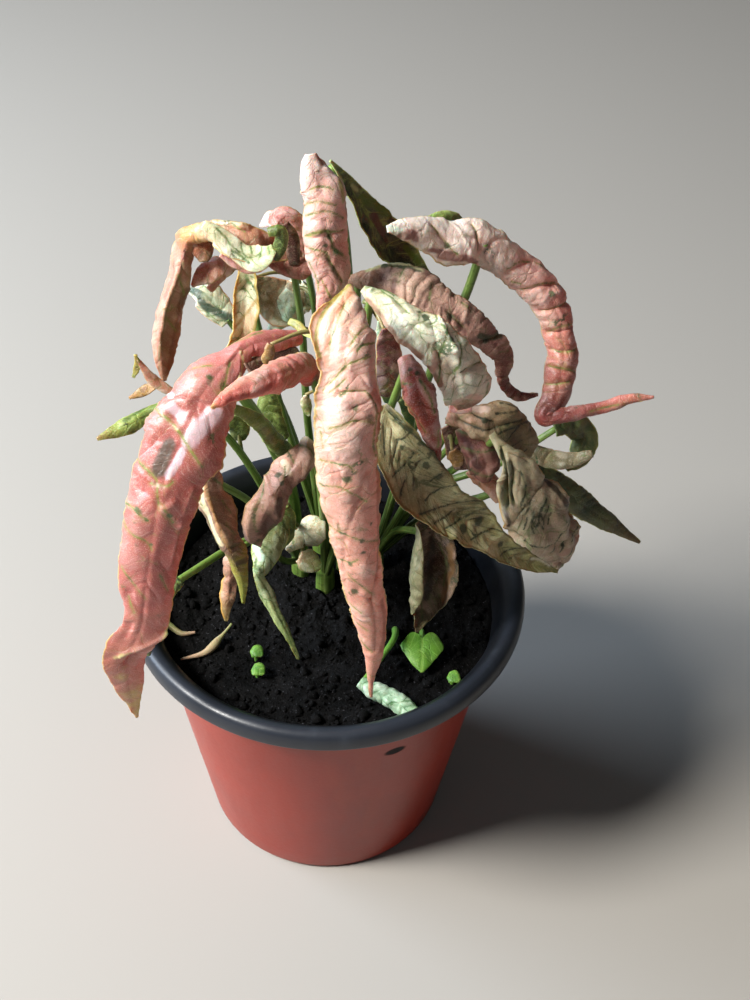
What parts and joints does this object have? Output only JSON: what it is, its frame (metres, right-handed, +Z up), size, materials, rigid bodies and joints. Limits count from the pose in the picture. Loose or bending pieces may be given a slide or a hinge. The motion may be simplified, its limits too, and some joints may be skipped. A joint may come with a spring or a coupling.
{
  "type": "potted syngonium",
  "caption": "Wilted pink-leaved arrowhead plant, its curled leaves drooping from slender stalks, in a tapered plastic nursery pot filled with dark soil.",
  "frame": {"origin": "centre of the pot's base, on the surface that the pot stands on", "axes": "+Z up along the pot's axis, -Y towards the side that the picture was taken from, +X to its right"},
  "size_m": [0.1558, 0.12, 0.2372],
  "materials": {
    "pot_plastic": "satin",
    "soil": "matte",
    "petiole_green": "satin",
    "leaf_pink": "satin",
    "leaf_cream": "satin",
    "leaf_green": "satin",
    "leaf_brown": "matte",
    "leaf_mint": "satin",
    "seedling_green": "satin",
    "dry_stalk": "matte"
  },
  "bodies": {
    "root": {"pot": "pot_plastic", "soil": "soil", "shoot_left": "petiole_green", "shoot_back": "petiole_green", "shoot_front": "petiole_green", "shoot_right": "petiole_green", "shoot_middle": "petiole_green", "leaf_front_hanging": "leaf_pink", "leaf_left_arch": "leaf_pink", "leaf_left_small": "leaf_pink", "leaf_coral": "leaf_pink", "leaf_top_rolled": "leaf_pink", "leaf_right_arch": "leaf_pink", "leaf_far_left": "leaf_pink", "leaf_left_rose": "leaf_pink", "leaf_back_pink": "leaf_pink", "leaf_right_cream": "leaf_cream", "leaf_right_long": "leaf_cream", "leaf_right_crumpled": "leaf_cream", "leaf_left_twisted": "leaf_cream", "leaf_back_left": "leaf_cream", "leaf_back_middle": "leaf_cream", "leaf_inner_cream": "leaf_cream", "leaf_top_dark": "leaf_green", "leaf_back_right": "leaf_green", "leaf_right_dark": "leaf_green", "leaf_left_tip": "leaf_green", "leaf_back_tip": "leaf_green", "leaf_left_inner": "leaf_green", "leaf_lower_green": "leaf_green", "leaf_right_pleated": "leaf_brown", "leaf_right_beige": "leaf_brown", "leaf_right_inner": "leaf_brown", "leaf_brown_folded": "leaf_brown", "leaf_lower_left": "leaf_brown", "leaf_lower_dry": "leaf_brown", "leaf_lower_right": "leaf_brown", "leaf_mint": "leaf_mint", "seedling_heart": "seedling_green", "seedling_left_a": "seedling_green", "seedling_left_b": "seedling_green", "seedling_right": "seedling_green", "seedling_stalk_heart": "seedling_green", "seedling_stalk_mint": "seedling_green", "dry_stalk_left": "dry_stalk", "dry_stalk_rim": "dry_stalk"}
  },
  "joints": []
}
